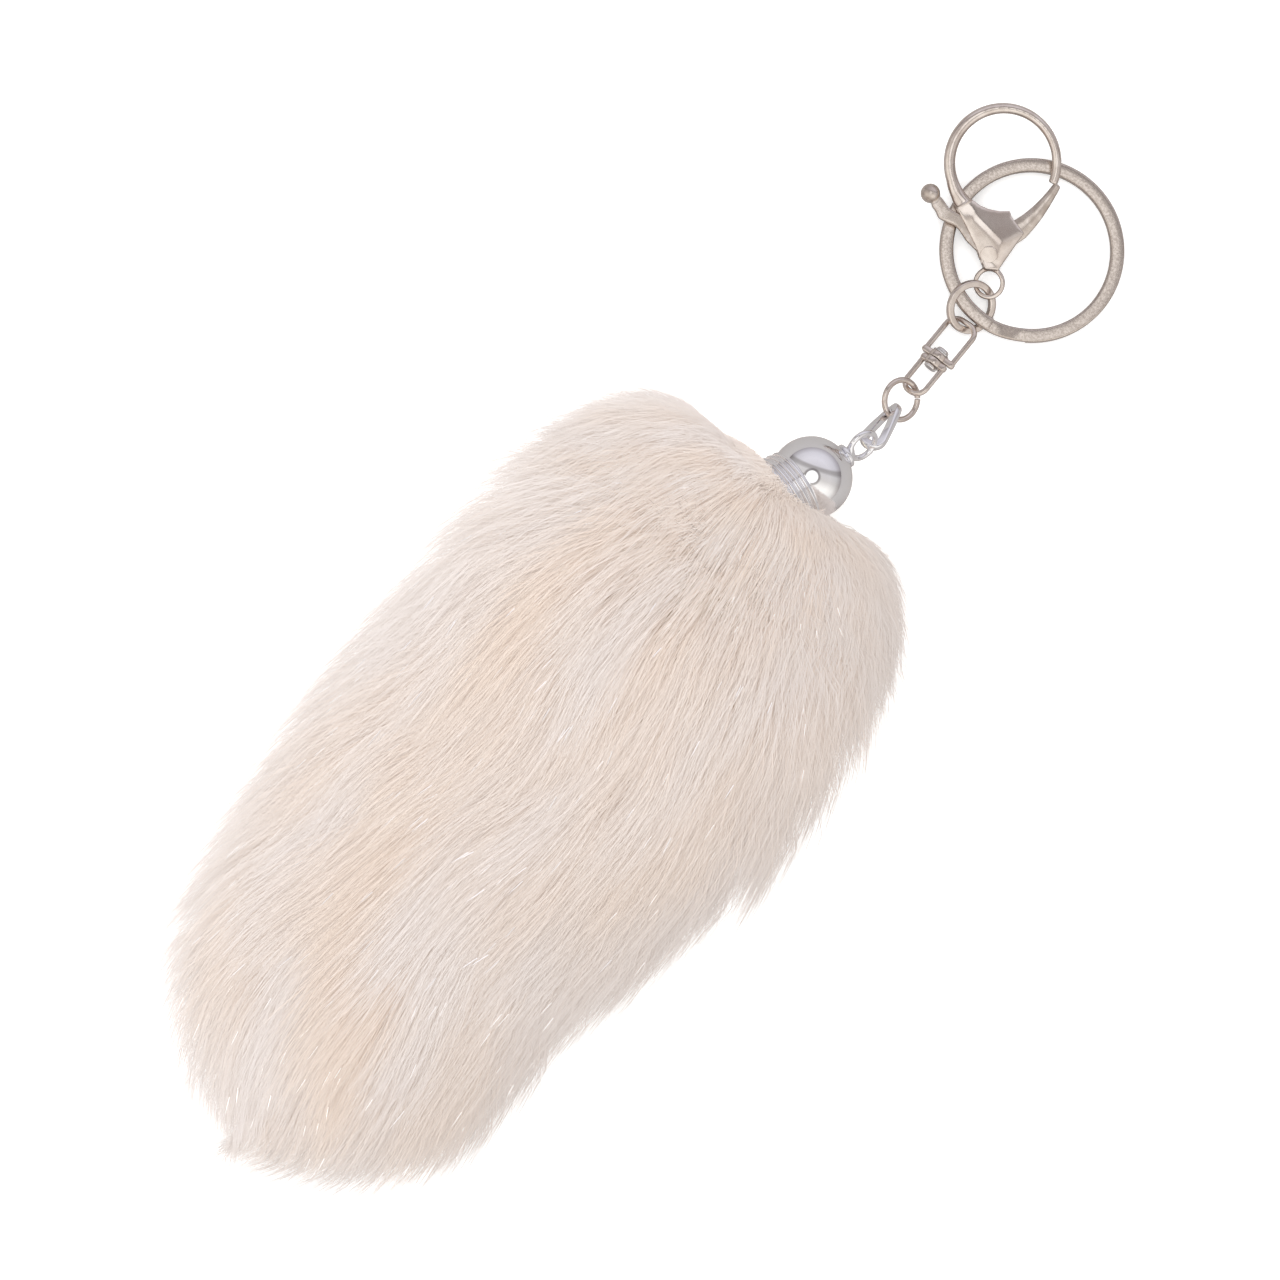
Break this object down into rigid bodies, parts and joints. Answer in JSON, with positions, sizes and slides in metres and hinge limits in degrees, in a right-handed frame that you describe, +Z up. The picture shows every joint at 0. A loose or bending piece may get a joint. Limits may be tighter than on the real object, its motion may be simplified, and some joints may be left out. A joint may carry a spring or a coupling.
{
  "type": "plush fur keychain",
  "caption": "Stuffed long-pile fur tail in a domed metal end cap, on a short chain with a swivel, a lobster clasp and a split key ring.",
  "frame": {"origin": "middle of the whole object's box, on the table that it lies on", "axes": "+Y from the fur's tip towards the clasp, +X to the key ring's side, +Z up off the table"},
  "size_m": [0.0792, 0.2129, 0.0499],
  "materials": {
    "fur": "long pile faux fur, soft and matt, with scattered bright tinsel fibres",
    "knit_backing": "knitted polyester backing",
    "fibre_fill": "polyester stuffing",
    "thread": "polyester sewing thread",
    "bright_chrome": "mirror bright plating",
    "glue": "set hot glue",
    "pale_nickel": "warm pale nickel plating, polished",
    "rivet_steel": "plated steel, turned",
    "cast_nickel": "nickel plated casting, slightly uneven",
    "spring_steel": "drawn spring wire"
  },
  "bodies": {
    "plush": {"fur_pile": "fur", "plush_skin": "knit_backing", "stuffing": "fibre_fill", "back_seam_thread": "thread", "neck_gather_thread": "thread", "cap_shell": "bright_chrome", "cap_eyelet": "bright_chrome", "glue_plug": "glue"},
    "curb_link": {"curb_link": "bright_chrome"},
    "lower_ring": {"lower_jump_ring": "pale_nickel"},
    "swivel_lower": {"swivel_lower_loop": "pale_nickel"},
    "swivel_upper": {"swivel_upper_loop": "pale_nickel", "swivel_rivet": "rivet_steel", "swivel_washer": "rivet_steel"},
    "upper_ring": {"upper_jump_ring": "pale_nickel"},
    "clasp": {"clasp_body": "cast_nickel", "clasp_pivot_pin": "rivet_steel", "clasp_spring": "spring_steel"},
    "trigger": {"clasp_trigger": "cast_nickel"},
    "split_ring": {"split_ring": "pale_nickel"}
  },
  "joints": [
    {"name": "link_swing", "type": "hinge", "parent": "plush", "child": "curb_link", "pos_m": [0.00905, 0.04825, 0.00941], "axis": [0.5065, -0.3986, -0.7646], "range_deg": [-30, 30]},
    {"name": "lower_ring_swing", "type": "hinge", "parent": "curb_link", "child": "lower_ring", "pos_m": [0.00872, 0.05412, 0.0048], "axis": [0.2064, 0.5632, 0.8001], "range_deg": [-25, 25]},
    {"name": "swivel_swing", "type": "hinge", "parent": "lower_ring", "child": "swivel_lower", "pos_m": [0.009, 0.05925, 0.00392], "axis": [0.8591, -0.1631, -0.4851], "range_deg": [-20, 40]},
    {"name": "swivel_spin", "type": "hinge", "parent": "swivel_lower", "child": "swivel_upper", "pos_m": [0.00951, 0.06479, 0.00333], "axis": [0.0451, 0.9921, -0.1167], "continuous": true},
    {"name": "upper_ring_swing", "type": "hinge", "parent": "swivel_upper", "child": "upper_ring", "pos_m": [0.00987, 0.07263, 0.00241], "axis": [0.9076, 0.0081, 0.4197], "range_deg": [-20, 40]},
    {"name": "clasp_swing", "type": "hinge", "parent": "upper_ring", "child": "clasp", "pos_m": [0.00894, 0.07901, 0.00247], "axis": [0.8572, -0.0153, -0.5148], "range_deg": [0, 60]},
    {"name": "split_ring_spin", "type": "hinge", "parent": "upper_ring", "child": "split_ring", "pos_m": [0.01134, 0.08845, 0.00173], "axis": [0, 0.0489, 0.9988], "continuous": true},
    {"name": "trigger_pull", "type": "hinge", "parent": "clasp", "child": "trigger", "pos_m": [0.00619, 0.08363, 0.00326], "axis": [0.1114, -0.0312, 0.9933], "range_deg": [0, 25], "stiffness_Nm_per_rad": 0.004, "springref_deg": -20.05, "deforming": ["clasp_spring"]}
  ]
}
